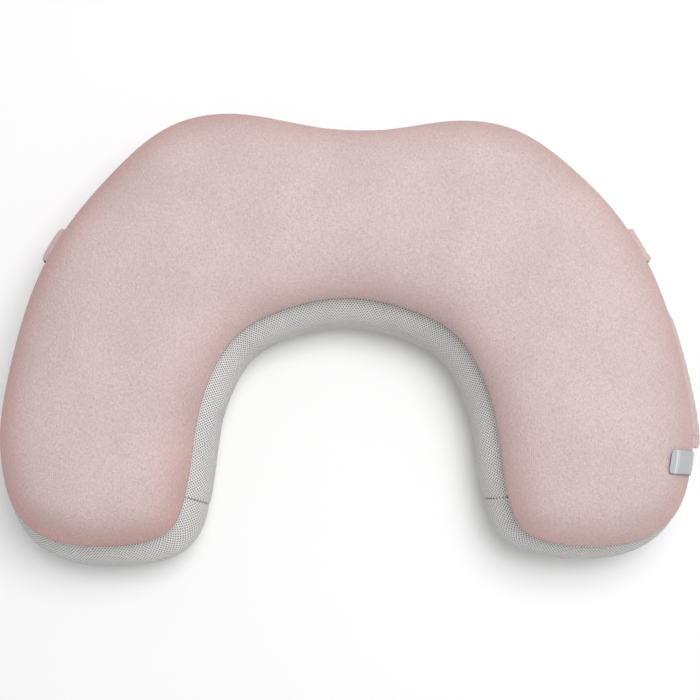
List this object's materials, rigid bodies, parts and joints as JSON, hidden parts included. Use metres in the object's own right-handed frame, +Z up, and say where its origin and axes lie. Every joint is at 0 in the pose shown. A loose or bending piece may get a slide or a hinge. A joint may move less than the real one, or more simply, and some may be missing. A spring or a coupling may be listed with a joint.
{
  "type": "nursing pillow",
  "caption": "U-shaped nursing pillow in a zipped cover with a pink knit top, grey mesh sides, belt loops and a waist belt.",
  "frame": {"origin": "on the flat underside, in the middle of the crown of the U, on the plane of symmetry", "axes": "+X to the right arm, +Y to the back of the U with the arms pointing along -Y, +Z up from the surface it rests on"},
  "size_m": [0.7134, 0.4623, 0.15],
  "materials": {
    "pink_knit": "heathered pale pink knit, soft matte with a faint bloom",
    "grey_spacer_mesh": "light grey open spacer mesh",
    "base_cloth": "light grey plain woven cloth",
    "insert_lining": "white non-woven lining",
    "foam": "cream open-cell foam",
    "zip_tape": "grey woven tape",
    "zip_coil": "grey nylon coil",
    "zip_metal": "light grey lacquered zinc",
    "hook_and_pile": "grey hook-and-pile tape",
    "tag_cloth": "grey satin-woven tag",
    "label_cloth": "white satin care label, blank"
  },
  "bodies": {
    "root": {"top_panel": "pink_knit", "waist_wall": "grey_spacer_mesh", "outer_wall": "grey_spacer_mesh", "base_panel": "base_cloth", "insert_case_top": "insert_lining", "insert_case_base": "insert_lining", "foam_core": "foam", "zip_tape_lower": "zip_tape", "zip_tape_upper": "zip_tape", "zip_coil_lower": "zip_coil", "zip_coil_upper": "zip_coil", "zip_stop_front": "zip_metal", "zip_stop_back": "zip_metal", "waist_belt": "pink_knit", "belt_loop_left": "pink_knit", "belt_loop_right": "pink_knit", "side_tag": "tag_cloth", "care_label": "label_cloth"},
    "slider": {"zip_slider": "zip_metal"},
    "puller": {"zip_puller": "zip_metal"},
    "long_belt_end": {"belt_end_right": "pink_knit", "hook_patch": "hook_and_pile"},
    "short_belt_end": {"belt_end_left": "pink_knit", "pile_patch": "hook_and_pile"}
  },
  "joints": [
    {"name": "zip_slide", "type": "hinge", "parent": "root", "child": "slider", "pos_m": [-0.0035, -0.1936, 0.02], "axis": [0, 0, -1], "range_deg": [0, 47.7]},
    {"name": "puller_swing", "type": "hinge", "parent": "slider", "child": "puller", "pos_m": [-0.33697, -0.13404, 0.02], "axis": [0, 0, 1], "range_deg": [0, 175]},
    {"name": "long_end_swing", "type": "hinge", "parent": "root", "child": "long_belt_end", "pos_m": [0.3118, -0.04429, 0.061], "axis": [0, 0, 1], "range_deg": [0, 75]},
    {"name": "short_end_swing", "type": "hinge", "parent": "root", "child": "short_belt_end", "pos_m": [-0.3118, -0.04429, 0.061], "axis": [0, 0, -1], "range_deg": [0, 75]}
  ]
}
